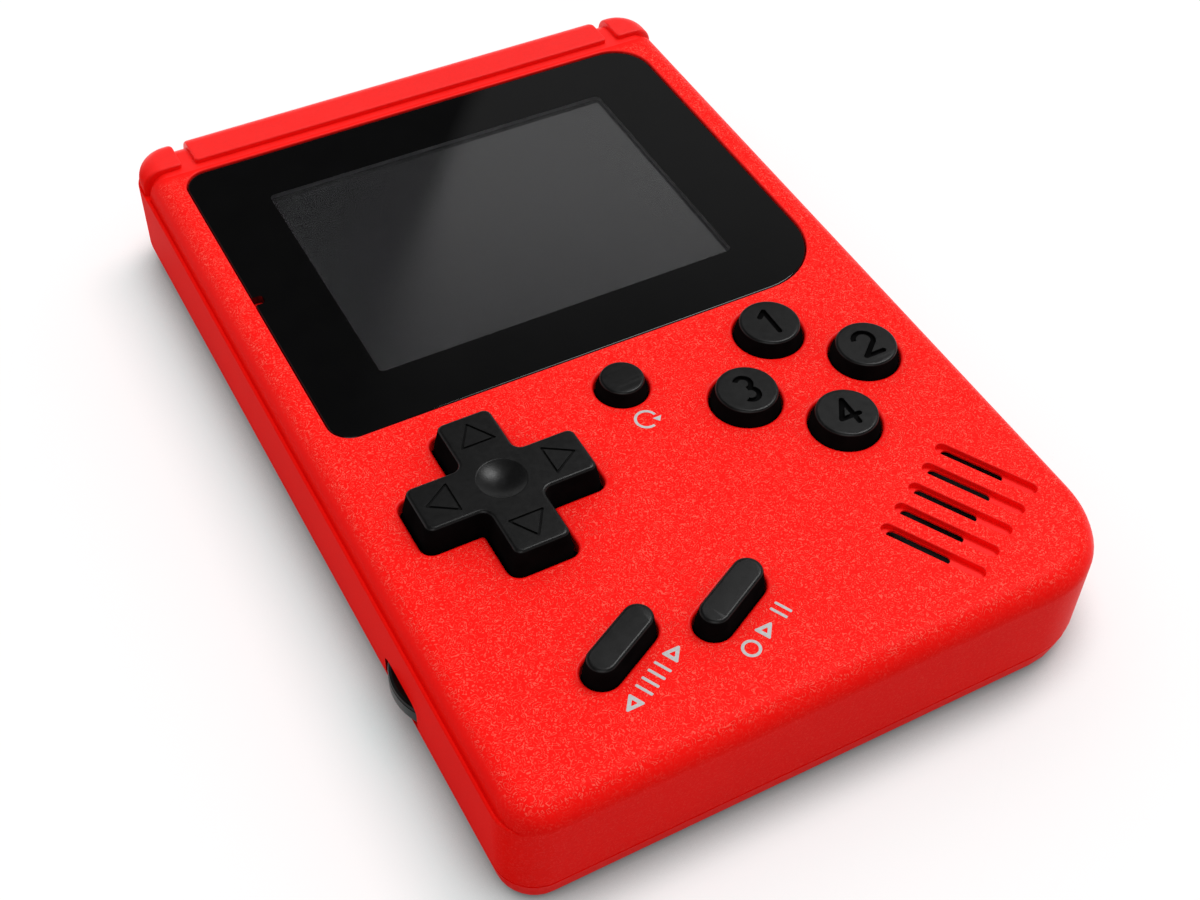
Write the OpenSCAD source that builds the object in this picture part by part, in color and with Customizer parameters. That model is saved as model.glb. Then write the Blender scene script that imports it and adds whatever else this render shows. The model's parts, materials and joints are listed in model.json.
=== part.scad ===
// Handheld game console with a screen, direction pad, buttons, speaker and thumb wheel.
// It lies on its back: +X is its width, +Y runs up the face to the top strip, +Z leaves the face.

/* [Case] */
// Width across the two side bands
body_w = 80; // [79:0.5:84]
// Length from the bottom edge to the top strip
body_l = 120; // [119:0.5:126]
// Height of the front face above the back
body_t = 17; // [17:0.25:19]
// Height of the seam between the two shells
seam_z = 3.6; // [3.3:0.1:3.7]
// Wall thickness of the shells
wall_t = 1.8; // [1.6:0.1:1.9]
// Plan radius of the three small corners
corner_r = 5; // [4.5:0.5:7]
// Plan radius of the corner by the speaker
speaker_corner_r = 12; // [10:0.5:16]
// Rounding where the face turns into the sides
edge_r = 2.8; // [2.2:0.1:3]
// Step in from the side bands to the face
band_step = 0.6; // [0.4:0.1:0.8]
// How far the top bar and the corner caps stand above the face
cap_rise = 0.4; // [0.3:0.1:0.8]
// How far the floor of the top strip lies below the face
strip_drop = 0.3; // [0:0.1:0.4]
// Length of the strip above the lens
strip_l = 8.9; // [8.6:0.1:10]
// Length of the control deck below the lens
deck_l = 56.3; // [55.5:0.1:60]
// Width of the face at each side of the lens
face_margin = 5; // [4.6:0.1:6]

/* [Screen] */
// Thickness of the screen lens
lens_t = 1.2; // [1:0.1:1.3]
// Black border at each side of the picture
border_w = 9.6; // [9:0.1:11]
// Black border above and below the picture, on average
border_l = 8.35; // [7.5:0.05:10]

/* [Controls] */
// Span of the direction pad at its foot
pad_span = 22.4; // [21:0.2:23]
// Width of one pad arm at its foot
pad_arm = 7.8; // [7:0.1:8.2]
// Height of the pad above the face
pad_rise = 3; // [2.4:0.1:3.2]
// Diameter of an action button at the face
button_d = 8.6; // [8:0.1:9]
// Distance from the middle of the button diamond to each button
button_reach = 8.7; // [8.4:0.1:9]
// Height of the action buttons above the face
button_rise = 1.9; // [1.4:0.1:2.2]
// Diameter of the reset button at the face
reset_d = 6.4; // [5.6:0.1:7]
// Length of the select and start pills at the face
pill_l = 11; // [10:0.2:11.6]
// Width of the select and start pills at the face
pill_w = 4.2; // [3.8:0.1:4.6]
// Height of the pills above the face
pill_rise = 2.6; // [2:0.1:2.8]
// Diameter of the volume wheel
wheel_d = 15; // [14:0.2:15.4]
// Thickness of the volume wheel
wheel_t = 2.5; // [2:0.1:2.6]

/* [Movement] */
// Travel of every push button
button_travel = 1; // [0.6:0.1:1.1]
// Rocking angle of the pad either way, in degrees
pad_tilt = 4; // [3:0.5:4.5]
// Travel of the power knob
knob_travel = 4; // [3:0.5:4.5]

/* [Inside] */
// Thickness of the main board
board_t = 1.6; // [1:0.1:1.6]
// Room between each side of the case and the battery
bay_margin = 13.5; // [13:0.1:16]
// Length of the battery
battery_l = 34; // [32:0.5:36]
// Thickness of the battery
battery_t = 5.6; // [5:0.1:5.6]
// Diameter of the speaker
speaker_d = 20; // [18:0.5:20.5]

/* [Hidden] */
$fn = 48;

// Gaps: around a moving piece, between fixed pieces, and a little extra for cutting through
gap = 0.25;
fit = 0.1;
over = 1;

// Heights, from the face down to the board
face_in = body_t - wall_t;
band_z = body_t - edge_r;
ledge_z = body_t - 0.2 - lens_t;
lcd_t = 2.2;
lcd_top = ledge_z - 1.7;
lcd_z = lcd_top - lcd_t;
board_top = lcd_z - 1.7;
board_z = board_top - board_t;
membrane_t = 1;
dome_h = 1.2;
dome_top = board_top + membrane_t + dome_h;

// Heights, from the back up
back_t = 1.6;
bay_top = board_z - fit;
bay_roof_t = 0.7;
battery_top = bay_top - bay_roof_t - fit;

// Plan edges and the face layout
half_w = body_w / 2;
half_l = body_l / 2;
cap_l = 6.7;
cap_step = 0.25;
strip_floor_l = strip_l - 0.6;
bar_half = 0.401 * body_w;
cap_half = 0.425 * body_w;
lens_w = body_w - 2 * face_margin;
lens_l = body_l - strip_l - deck_l;
lens_at = [0, half_l - strip_l - lens_l / 2];
screen_w = lens_w - 2 * border_w;
screen_l = lens_l - 2 * border_l;
screen_at = lens_at + [0, 0.5];
panel_at = lens_at;
panel_w = screen_w + 7;
panel_l = screen_l + 9;
carrier_edge = 0.5;
ribbon_w = 0.4 * screen_w;
lens_radii = [3, 9.5, 5.5, 3.2];
notch_r = 0.8;
ledge_rim = 1.2;
ledge_open = 4.4;
deck_top = deck_l - half_l;
pad_at = [-0.266 * body_w, deck_top - 0.286 * deck_l];
buttons_at = [0.256 * body_w, deck_top - 0.281 * deck_l];
reset_at = [-0.008 * body_w, deck_top - 0.126 * deck_l];
select_at = [-0.2475 * body_w, deck_top - 0.736 * deck_l];
start_at = [-0.075 * body_w, deck_top - 0.736 * deck_l];
pill_slant = 27.5;
grille_at = [0.31 * body_w, deck_top - 0.744 * deck_l];
grille_slant = -60.5;
grille_pitch = 3.7;
slot_l = 12.8;
slot_w = 1.5;
slot_through_l = 8.4;

// Direction pad: it rocks about a ball under its middle
ball_r = 2.2;
ball_z = board_top + 3;
pad_foot_z = ball_z + 0.25;
pad_disc_r = 8.5;
pad_disc_rise = pad_disc_r * sin(1.5 * pad_tilt) + fit;
pad_gap = (body_t - ball_z) * sin(pad_tilt) + 0.2;
pad_dome_reach = 8;

// Push buttons
flange_t = 1.2;
flange_w = 1.2;
cap_edge = 0.6;
cap_taper = 0.35;
foot_z = dome_top + button_travel + 0.15;

// Volume wheel and power knob stand the same amount out of the sides
side_proud = 0.9;
wheel_r = wheel_d / 2;
wheel_at = [-half_w - side_proud + wheel_r, deck_top - 0.497 * deck_l];
pot_t = 1.6;
pot_w = 0.6 * wheel_d;
pot_l = 0.74 * wheel_d;
wheel_z = board_z - pot_t - fit - wheel_t;
shaft_r = 1.5;
knob_l = 6;
knob_h = 2.4;
knob_at = [half_w, 0.19 * body_l];
knob_z = board_z - 2;
knob_seat = 1.1;
stem_l = 3;
stem_h = 1.4;
switch_l = 11.6;
switch_w = 4;

// Sockets in the top side
socket_x = 0.225 * body_w;
jack_r = 1.8;
jack_nose_r = 2.2;
jack_z = board_z - 2.3;
jack_l = 11;
usb_w = 7.5;
usb_h = 2.6;
usb_l = 5.6;

// Fasteners
boss_r = 2.8;
case_screw_inset = 7;
case_screw_end = 8.2;
case_screws_at = [
    [-half_w + case_screw_inset, half_l - case_screw_end],
    [half_w - case_screw_inset, half_l - case_screw_end],
    [-half_w + case_screw_inset, -half_l + case_screw_end],
    [half_w - wall_t - 1.3 * boss_r, grille_at[1] + speaker_d / 2 + boss_r]
];
board_screw_inset = 6.4;
board_screws_at = [
    [-half_w + board_screw_inset, lens_at[1] + lens_l / 4],
    [half_w - board_screw_inset, lens_at[1] + lens_l / 4],
    [-0.02 * body_w, deck_top - 0.432 * deck_l],
    [-half_w + board_screw_inset, wheel_at[1] - 1.5 * wheel_r]
];
case_screw_l = 9.8;
board_screw_l = 5.2;
screw_r = 1;
screw_hole_r = screw_r + 0.05;
head_r = 1.9;
head_t = 1.2;
head_seat = 1.4;
case_head_z = seam_z - head_seat - head_t;
case_screw_top = case_head_z + head_t + case_screw_l;

// Chips under the board
main_chip_w = 14;
main_chip_t = 1.4;
memory_chip_w = 12;
memory_chip_l = 8;
memory_chip_t = 1.2;
chip_y = deck_top - 0.723 * deck_l;

// Battery bay in the rear shell, shut by a door that swings on two tongues
battery_w = body_w - 2 * bay_margin;
bay_w = battery_w + 6.2;
bay_l = battery_l + 5;
bay_wall = 1.2;
contact_w = 2.6;
contact_l = 12;
contact_h = 4.6;
contact_pitch = 3.5;
tongue_w = 6;
tongue_x = bay_w / 4;
tongue_l = 2;
tongue_root = 1.2;

// Colours
shell_red = [0.9, 0.1, 0.09];
key_black = [0.1, 0.1, 0.105];
rubber_grey = [0.35, 0.36, 0.37];
board_green = [0.06, 0.3, 0.16];
metal = [0.75, 0.75, 0.73];

// A rectangle with its own radius at each corner: bottom left, bottom right, top right, top left
module round_rect(x0, x1, y0, y1, r) {
    polygon([
        [x0 + r[0], y0], [x1 - r[1], y0], [x1, y0 + r[1]], [x1, y1 - r[2]],
        [x1 - r[2], y1], [x0 + r[3], y1], [x0, y1 - r[3]], [x0, y0 + r[0]]
    ]);
    translate([x0 + r[0], y0 + r[0]]) circle(r[0]);
    translate([x1 - r[1], y0 + r[1]]) circle(r[1]);
    translate([x1 - r[2], y1 - r[2]]) circle(r[2]);
    translate([x0 + r[3], y1 - r[3]]) circle(r[3]);
}

// Plan of the case, pulled in all round by inset, and further at the sides and top by step
module case_plan(inset = 0, step = 0) {
    small = corner_r - inset;
    large = speaker_corner_r - inset;
    side = half_w - inset - step;
    round_rect(-side, side, -half_l + inset, half_l - inset - step, [small, large, small, small]);
}

// A slab of the case plan whose upper edge is rounded
module rounded_slab(z0, z1, r, step) {
    hull() {
        translate([0, 0, z0]) linear_extrude(0.01) case_plan(0, step, $fn = 32);
        for (a = [0 : 18 : 90]) {
            translate([0, 0, z1 - r + r * sin(a) - 0.01])
                linear_extrude(0.01) case_plan(r * (1 - cos(a)), step, $fn = 32);
        }
    }
}

// A centred block that starts at a height
module block(size, at, z) {
    translate([at[0] - size[0] / 2, at[1] - size[1] / 2, z]) cube(size);
}

// An upright cylinder between two heights
module post(at, r, z0, z1) {
    translate([at[0], at[1], z0]) cylinder(h = z1 - z0, r = r);
}

// A pill-shaped outline with its length along X
module pill_plan(l, w) {
    square([l - w, w], center = true);
    for (x = [-1, 1]) translate([x * (l - w) / 2, 0]) circle(w / 2);
}

// The pad's cross outline with small round corners
module cross_plan(span, arm, r) {
    round_rect(-span / 2, span / 2, -arm / 2, arm / 2, [r, r, r, r]);
    round_rect(-arm / 2, arm / 2, -span / 2, span / 2, [r, r, r, r]);
}

// The shape of the lens, or of its recess when grown
module lens_plan(grow = 0) {
    x = lens_w / 2 + grow;
    y0 = lens_at[1] - lens_l / 2 - grow;
    y1 = lens_at[1] + lens_l / 2 + grow;
    round_rect(-x, x, y0, y1, [for (r = lens_radii) r + grow]);
}

// The raised bar and the two corner caps of the top strip
module top_strip() {
    intersection() {
        rounded_slab(band_z - 0.5, body_t + cap_rise, edge_r, cap_step);
        union() {
            block([2 * bar_half, cap_l, body_t], [0, half_l - cap_l / 2], band_z);
            for (s = [-1, 1]) {
                x = s * (half_w + cap_half) / 2;
                block([half_w - cap_half, cap_l, body_t], [x, half_l - cap_l / 2], band_z - 0.5);
            }
        }
    }
}

// Five slanted speaker slots, cut through at their upper ends and blind at the others
module speaker_slots() {
    translate([grille_at[0], grille_at[1], 0]) rotate(grille_slant) for (k = [-2 : 2]) {
        translate([0, k * grille_pitch, body_t - 0.8]) linear_extrude(over + 1) pill_plan(slot_l, slot_w);
        translate([(slot_through_l - slot_l) / 2, k * grille_pitch, face_in - over])
            linear_extrude(wall_t + 2 * over) pill_plan(slot_through_l, slot_w);
    }
}

// Holes in the face for the pad, the buttons and the pills
module control_holes() {
    translate([0, 0, face_in - over]) linear_extrude(wall_t + 2 * over) {
        translate(pad_at) cross_plan(pad_span + 2 * pad_gap, pad_arm + 2 * pad_gap, 1.4);
        for (at = button_spots()) translate(at) circle(button_d / 2 + gap);
        translate(reset_at) circle(reset_d / 2 + gap);
        for (at = [select_at, start_at]) {
            translate(at) rotate(pill_slant) pill_plan(pill_l + 2 * gap, pill_w + 2 * gap);
        }
    }
}

// Middles of the four action buttons: top, right, left, bottom
function button_spots() = [for (a = [90, 0, 180, 270]) buttons_at + button_reach * [cos(a), sin(a)]];

// Openings through the side walls for the wheel, the knob and the two sockets
module side_openings() {
    post(wheel_at, wheel_r + 0.4, seam_z - over, wheel_z + wheel_t + 0.4);
    knob_mid = [knob_at[0], knob_at[1] + knob_travel / 2];
    slot_len = stem_l + knob_travel + 2 * gap;
    block([4 * wall_t, slot_len, stem_h + 2 * gap], knob_mid, knob_z - stem_h / 2 - gap);
    recess_len = knob_l + knob_travel + 2 * gap;
    block([2 * knob_seat, recess_len, knob_h + 2 * gap], knob_mid, knob_z - knob_h / 2 - gap);
    translate([-socket_x, half_l + over, jack_z]) rotate([90, 0, 0])
        cylinder(h = 4 * wall_t, r = jack_nose_r + fit);
    block([usb_w + 2 * fit, 6 * wall_t, usb_h + 2 * fit], [socket_x, half_l], board_z - usb_h - fit);
}

module front_shell() color(shell_red) {
    difference() {
        union() {
            translate([0, 0, seam_z]) linear_extrude(band_z - seam_z) case_plan();
            difference() {
                rounded_slab(band_z - 0.5, body_t, edge_r, band_step);
                strip_mid = half_l - strip_floor_l / 2;
                block([body_w, strip_floor_l, body_t], [0, strip_mid], body_t - strip_drop);
            }
            top_strip();
        }
        difference() {
            translate([0, 0, seam_z - over]) linear_extrude(face_in - seam_z + over) case_plan(wall_t);
            translate([0, 0, lcd_top]) linear_extrude(body_t) lens_plan(ledge_rim);
            for (at = case_screws_at) post(at, boss_r, seam_z, body_t);
            for (at = board_screws_at) post(at, boss_r - 0.4, board_top, body_t);
            difference() {
                post(grille_at, speaker_d / 2 + 1.2, board_top + 2.6, body_t);
                post(grille_at, speaker_d / 2 + fit, board_top, body_t);
            }
        }
        translate([0, 0, ledge_z]) linear_extrude(body_t) lens_plan(0.15);
        block([screen_w + ledge_open, screen_l + ledge_open, body_t], screen_at + [0.4, 0.4], lcd_top - over);
        control_holes();
        speaker_slots();
        side_openings();
        for (at = case_screws_at) post(at, screw_hole_r, seam_z - over, case_screw_top + fit);
        for (at = board_screws_at) post(at, screw_hole_r, board_top - over, board_z + board_screw_l + fit);
    }
}

// Lip tabs that locate the rear shell inside the front shell
module lip_tabs() {
    intersection() {
        translate([0, 0, seam_z - 0.6]) linear_extrude(1.8) difference() {
            case_plan(wall_t + 0.15);
            case_plan(wall_t + 1.05);
        }
        union() {
            block([body_w, 0.3 * body_l, body_t], [0, 0], 0);
            block([0.4 * body_w, body_l, body_t], [-0.05 * body_w, -half_l], 0);
            block([0.2 * body_w, body_l, body_t], [0, half_l], 0);
        }
    }
}

// Walls and roof of the battery bay
module bay_box() {
    difference() {
        block([bay_w + 2 * bay_wall, bay_l + 2 * bay_wall, bay_top - back_t / 2], [0, 0], back_t / 2);
        block([bay_w, bay_l, bay_top - bay_roof_t + over], [0, 0], -over);
        contact_x = (bay_w - contact_w) / 2;
        for (k = [-1 : 1]) post([contact_x, k * contact_pitch], 0.6, 0, body_t);
    }
}

module rear_shell() color(shell_red) {
    difference() {
        union() {
            difference() {
                hull() {
                    for (s = [[0, 1.5], [0.4, 0.9], [1.2, 0.5], [seam_z - 0.01, 0]]) {
                        translate([0, 0, s[0]]) linear_extrude(0.01) case_plan(s[1], 0, $fn = 32);
                    }
                }
                translate([0, 0, back_t]) linear_extrude(body_t) case_plan(wall_t + 0.15);
            }
            lip_tabs();
            bay_box();
            for (at = case_screws_at) post(at, boss_r, back_t - 0.2, seam_z);
        }
        block([bay_w, bay_l, bay_top - bay_roof_t + over], [0, 0], -over);
        for (s = [-1, 1]) {
            block([tongue_w + 2 * gap, 4, 2.4], [s * tongue_x, bay_l / 2 + 1], back_t);
        }
        for (at = case_screws_at) {
            post(at, screw_r + 0.2, -over, body_t);
            post(at, head_r + 0.3, -over, seam_z - head_seat);
        }
    }
}

module battery_door() color(shell_red) {
    edge_y = bay_l / 2 - gap;
    difference() {
        union() {
            block([bay_w - 2 * gap, 2 * edge_y, back_t], [0, 0], 0);
            for (s = [-1, 1]) {
                block([tongue_w, tongue_root, 1.6], [s * tongue_x, edge_y - tongue_root / 2], back_t - 0.5);
                tongue_y = edge_y + (tongue_l - tongue_root) / 2;
                block([tongue_w, tongue_l + tongue_root, 1], [s * tongue_x, tongue_y], back_t + fit);
            }
        }
        for (k = [0 : 3]) block([12, 0.6, over + 0.4], [0, 1.6 * k - bay_l / 2 + 4], -over);
    }
}

module screen_lens() color(key_black) {
    translate([0, 0, ledge_z]) linear_extrude(lens_t) difference() {
        lens_plan();
        translate([-lens_w / 2, lens_at[1]]) circle(notch_r);
    }
}

module lcd_panel() color([0.22, 0.23, 0.25]) {
    block([panel_w, panel_l, lcd_t], panel_at, lcd_z);
}

module lcd_carrier() color([0.85, 0.85, 0.84]) {
    difference() {
        carrier = [panel_w + 2 * carrier_edge, panel_l + 2 * carrier_edge, lcd_z - board_top];
        block(carrier, panel_at, board_top);
        block([screen_w, screen_l, body_t], panel_at, 0);
    }
}

// Ribbon that folds from the foot of the panel down to the board
module lcd_ribbon() color([0.72, 0.45, 0.12]) {
    y = panel_at[1] - panel_l / 2;
    translate([-ribbon_w / 2, y, 0]) rotate([90, 0, 90]) linear_extrude(ribbon_w) polygon([
        [0, lcd_z + 1], [-1.4, lcd_z + 1], [-1.7, lcd_z + 0.7], [-1.7, board_top],
        [-1.4, board_top], [-1.4, lcd_z + 0.5], [-1.2, lcd_z + 0.7], [0, lcd_z + 0.7]
    ]);
}

module main_board() color(board_green) {
    difference() {
        translate([0, 0, board_z]) linear_extrude(board_t) case_plan(wall_t + 0.8);
        for (at = case_screws_at) post(at, boss_r + 0.2, 0, body_t);
        for (at = board_screws_at) post(at, screw_r + 0.2, 0, body_t);
    }
}

module main_chip() color([0.08, 0.08, 0.08]) {
    block([main_chip_w, main_chip_w, main_chip_t], [0.15 * body_w, chip_y], board_z - main_chip_t);
}

module memory_chip() color([0.08, 0.08, 0.08]) {
    block([memory_chip_w, memory_chip_l, memory_chip_t], [-0.1 * body_w, chip_y], board_z - memory_chip_t);
}

// One arm of the pad, narrower at its top
module pad_arm_bar() {
    hull() {
        top = body_t + pad_rise;
        for (s = [[pad_foot_z, 0], [body_t, 0], [top - 0.7, 0.25], [top - 0.2, 0.45], [top, 0.95]]) {
            x = pad_span / 2 - s[1];
            y = pad_arm / 2 - s[1];
            r = max(1.2 - s[1], 0.3);
            translate([0, 0, s[0] - 0.01]) linear_extrude(0.01)
                round_rect(-x, x, -y, y, [r, r, r, r], $fn = 16);
        }
    }
}

module pad() color(key_black) {
    dish_r = 6.8;
    dish_depth = 0.7;
    disc_top = face_in - pad_disc_rise;
    translate([pad_at[0], pad_at[1], 0]) difference() {
        union() {
            pad_arm_bar();
            rotate(90) pad_arm_bar();
            post([0, 0], pad_disc_r, pad_foot_z, disc_top);
        }
        translate([0, 0, body_t + pad_rise + dish_r - dish_depth]) sphere(dish_r);
        translate([0, 0, ball_z]) sphere(ball_r + 0.15);
    }
}

module pad_ball() color(metal) {
    translate([pad_at[0], pad_at[1], ball_z]) sphere(ball_r);
}

// Post on the board with a cup for the ball
module pad_post() color(rubber_grey) {
    difference() {
        post(pad_at, ball_r, board_top, ball_z - 0.6);
        translate([pad_at[0], pad_at[1], ball_z]) sphere(ball_r + fit);
    }
}

// A rubber dome under a button
module dome(at, r) {
    translate([at[0], at[1], board_top + membrane_t - 0.2]) cylinder(h = dome_h + 0.2, r1 = r, r2 = 0.7 * r);
}

module pad_membrane() color(rubber_grey) {
    difference() {
        union() {
            post(pad_at, pad_span / 2 + 1.2, board_top, board_top + membrane_t);
            for (a = [0 : 90 : 270]) dome(pad_at + pad_dome_reach * [cos(a), sin(a)], 2.4);
        }
        post(pad_at, ball_r + 0.5, 0, body_t);
    }
}

module action_membrane() color(rubber_grey) {
    post(buttons_at, button_reach + button_d / 2 + 1.2, board_top, board_top + membrane_t);
    for (at = button_spots()) dome(at, 0.42 * button_d);
}

module reset_membrane() color(rubber_grey) {
    post(reset_at, reset_d / 2 + 1, board_top, board_top + membrane_t);
    dome(reset_at, 0.4 * reset_d);
}

module menu_membrane() color(rubber_grey) {
    middle = (select_at + start_at) / 2;
    long = start_at[0] - select_at[0] + pill_l + 3;
    block([long, pill_l, membrane_t], middle, board_top);
    for (at = [select_at, start_at]) dome(at, 0.45 * pill_w);
}

// Half section of a button: straight through the face, then narrower, with a rounded upper edge
module cap_profile(r, rise) {
    top = body_t + rise;
    top_r = r - cap_taper;
    polygon([
        [0, face_in - flange_t], [r, face_in - flange_t], [r, body_t],
        [top_r, top - cap_edge], [top_r - cap_edge, top], [0, top]
    ]);
    translate([top_r - cap_edge, top - cap_edge]) intersection() {
        circle(cap_edge);
        square(cap_edge);
    }
}

// A round push button: foot, flange against the inside of the face, and cap
module round_button(at, d, rise) {
    translate([at[0], at[1], 0]) {
        rotate_extrude() cap_profile(d / 2, rise);
        post([0, 0], d / 2 + flange_w, face_in - flange_t, face_in);
        post([0, 0], d / 2 - 1, foot_z, face_in - flange_t + 0.1);
    }
}

module button_top() color(key_black) round_button(button_spots()[0], button_d, button_rise);
module button_right() color(key_black) round_button(button_spots()[1], button_d, button_rise);
module button_left() color(key_black) round_button(button_spots()[2], button_d, button_rise);
module button_bottom() color(key_black) round_button(button_spots()[3], button_d, button_rise);
module reset_button() color(key_black) round_button(reset_at, reset_d, button_rise - 0.2);

// A slanted pill button: two round ends and a straight middle, with a flange behind the face
module pill_button(at) {
    middle_l = pill_l - pill_w;
    translate([at[0], at[1], 0]) rotate(pill_slant) {
        for (s = [-1, 1]) {
            translate([s * middle_l / 2, 0, 0]) rotate_extrude() cap_profile(pill_w / 2, pill_rise);
        }
        rotate([90, 0, 90]) linear_extrude(middle_l, center = true) {
            cap_profile(pill_w / 2, pill_rise);
            mirror([1, 0]) cap_profile(pill_w / 2, pill_rise);
        }
        translate([0, 0, face_in - flange_t]) linear_extrude(flange_t)
            pill_plan(pill_l + 2 * flange_w, pill_w + 2 * flange_w);
        post([0, 0], 0.4 * pill_w, foot_z, face_in - flange_t + 0.1);
    }
}

module select_button() color(key_black) pill_button(select_at);
module start_button() color(key_black) pill_button(start_at);

// Speaker, from the gasket behind the slots down to its magnet
speaker_r = speaker_d / 2;
gasket_t = 0.8;
basket_top = face_in - gasket_t;
basket_z = board_top + 0.2;
magnet_h = 1.2;

module speaker_gasket() color([0.15, 0.15, 0.15]) {
    difference() {
        post(grille_at, speaker_r, basket_top, face_in);
        post(grille_at, speaker_r - 1.4, 0, body_t);
    }
}

module speaker_basket() color(metal) {
    difference() {
        union() {
            post(grille_at, speaker_r, basket_z + magnet_h, basket_top);
            post(grille_at, 0.62 * speaker_r, basket_z, basket_top - 1);
            block([2.4, 5, 0.8], grille_at - [speaker_r + 0.6, 0], basket_z + magnet_h);
        }
        post(grille_at, speaker_r - 1.2, basket_z + magnet_h + 0.8, body_t);
    }
}

module speaker_cone() color([0.2, 0.19, 0.18]) {
    z = basket_z + magnet_h + 0.8;
    translate([grille_at[0], grille_at[1], 0]) rotate_extrude() polygon([
        [0, z], [2.6, z], [speaker_r - 1.3, basket_top - 0.5], [speaker_r - 1.3, basket_top - 0.1],
        [2.4, z + 0.5], [0, z + 0.5]
    ]);
}

// Two leads that bend from the board up to the speaker's terminal
module speaker_leads() color([0.7, 0.1, 0.1]) {
    lead_r = 0.4;
    z = basket_z + magnet_h + 0.4;
    bend = z - board_top;
    x = grille_at[0] - speaker_r - 1.8;
    for (s = [-1, 1]) {
        translate([x, grille_at[1] + 1.4 * s, board_top]) rotate([90, -90, 0])
            rotate_extrude(angle = 90) translate([bend, 0]) circle(lead_r);
    }
}

module volume_wheel() color(key_black) {
    hole_r = shaft_r + 0.05;
    rim = wheel_r - 0.3;
    translate([wheel_at[0], wheel_at[1], wheel_z]) rotate_extrude() polygon([
        [hole_r, 0], [rim, 0], [wheel_r, 0.3], [wheel_r, 0.55 * wheel_t], [rim, 0.6 * wheel_t],
        [rim, 0.7 * wheel_t], [wheel_r, 0.75 * wheel_t], [wheel_r, wheel_t - 0.3],
        [rim, wheel_t], [hole_r, wheel_t]
    ]);
}

module volume_pot() color([0.12, 0.12, 0.13]) {
    block([pot_w, pot_l, pot_t], wheel_at, board_z - pot_t);
    post(wheel_at, shaft_r, wheel_z - 0.1, board_z - pot_t / 2);
}

module wheel_screw() color(metal) {
    post(wheel_at, shaft_r + 0.7, wheel_z - 0.9, wheel_z - 0.1);
}

module power_switch() color(metal) {
    at = [half_w - wall_t - 0.6 - switch_w / 2, knob_at[1] + knob_travel / 2];
    difference() {
        block([switch_w, switch_l, 4], at, board_z - 4);
        slot = [switch_w, stem_l + knob_travel + 2 * gap, stem_h + 2 * gap];
        block(slot, at + [1, 0], knob_z - stem_h / 2 - gap);
    }
}

module power_knob() color(key_black) {
    stem_in = wall_t + 0.6 + switch_w / 2;
    difference() {
        union() {
            block([stem_in, stem_l, stem_h], knob_at - [stem_in / 2, 0], knob_z - stem_h / 2);
            thumb_w = knob_seat + side_proud - gap;
            block([thumb_w, knob_l, knob_h], knob_at + [side_proud - thumb_w / 2, 0], knob_z - knob_h / 2);
        }
        for (k = [-1 : 1]) {
            block([0.8, 0.6, body_t], knob_at + [side_proud, 1.5 * k], 0);
        }
    }
}

module av_jack() color([0.12, 0.12, 0.13]) {
    nose_y = half_l - 0.4;
    difference() {
        union() {
            block([6, jack_l, 4.4], [-socket_x, half_l - wall_t - fit - jack_l / 2], board_z - 4.4);
            translate([-socket_x, nose_y, jack_z]) rotate([90, 0, 0])
                cylinder(h = wall_t + 1, r = jack_nose_r);
        }
        translate([-socket_x, half_l, jack_z]) rotate([90, 0, 0]) cylinder(h = jack_l, r = jack_r);
    }
}

module usb_socket() color(metal) {
    y = half_l - 0.6 - usb_l / 2;
    difference() {
        block([usb_w, usb_l, usb_h], [socket_x, y], board_z - usb_h);
        block([usb_w - 0.7, usb_l, usb_h - 0.7], [socket_x, y + 0.8], board_z - usb_h + 0.35);
    }
    block([usb_w - 3, usb_l - 1.2, 0.6], [socket_x, y - 0.3], board_z - usb_h / 2 - 0.3);
}

module battery() color([0.2, 0.35, 0.6]) {
    x = (bay_w - battery_w) / 2 - contact_w - 2 * fit;
    y = -(bay_l - battery_l) / 2 + 1;
    block([battery_w, battery_l, battery_t], [x, y], battery_top - battery_t);
}

module battery_contacts() color([0.85, 0.7, 0.3]) {
    x = (bay_w - contact_w) / 2;
    block([contact_w, contact_l, contact_h], [x - fit, 0], battery_top - contact_h);
    for (k = [-1 : 1]) post([x, k * contact_pitch], 0.4, battery_top - 1, board_z);
}

module case_screws() color(metal) {
    for (at = case_screws_at) {
        post(at, head_r, case_head_z, case_head_z + head_t);
        post(at, screw_r, case_head_z + head_t / 2, case_screw_top);
    }
}

module board_screws() color(metal) {
    for (at = board_screws_at) {
        post(at, head_r, board_z - head_t, board_z);
        post(at, screw_r, board_z - head_t / 2, board_z + board_screw_l);
    }
}

front_shell();
rear_shell();
battery_door();
screen_lens();
lcd_panel();
lcd_carrier();
lcd_ribbon();
main_board();
main_chip();
memory_chip();
pad();
pad_ball();
pad_post();
pad_membrane();
button_top();
button_right();
button_left();
button_bottom();
action_membrane();
reset_button();
reset_membrane();
select_button();
start_button();
menu_membrane();
speaker_basket();
speaker_cone();
speaker_gasket();
speaker_leads();
volume_wheel();
volume_pot();
wheel_screw();
power_switch();
power_knob();
av_jack();
usb_socket();
battery();
battery_contacts();
case_screws();
board_screws();
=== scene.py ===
"""Looks of a handheld game console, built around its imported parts."""

import json
import math

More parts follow.
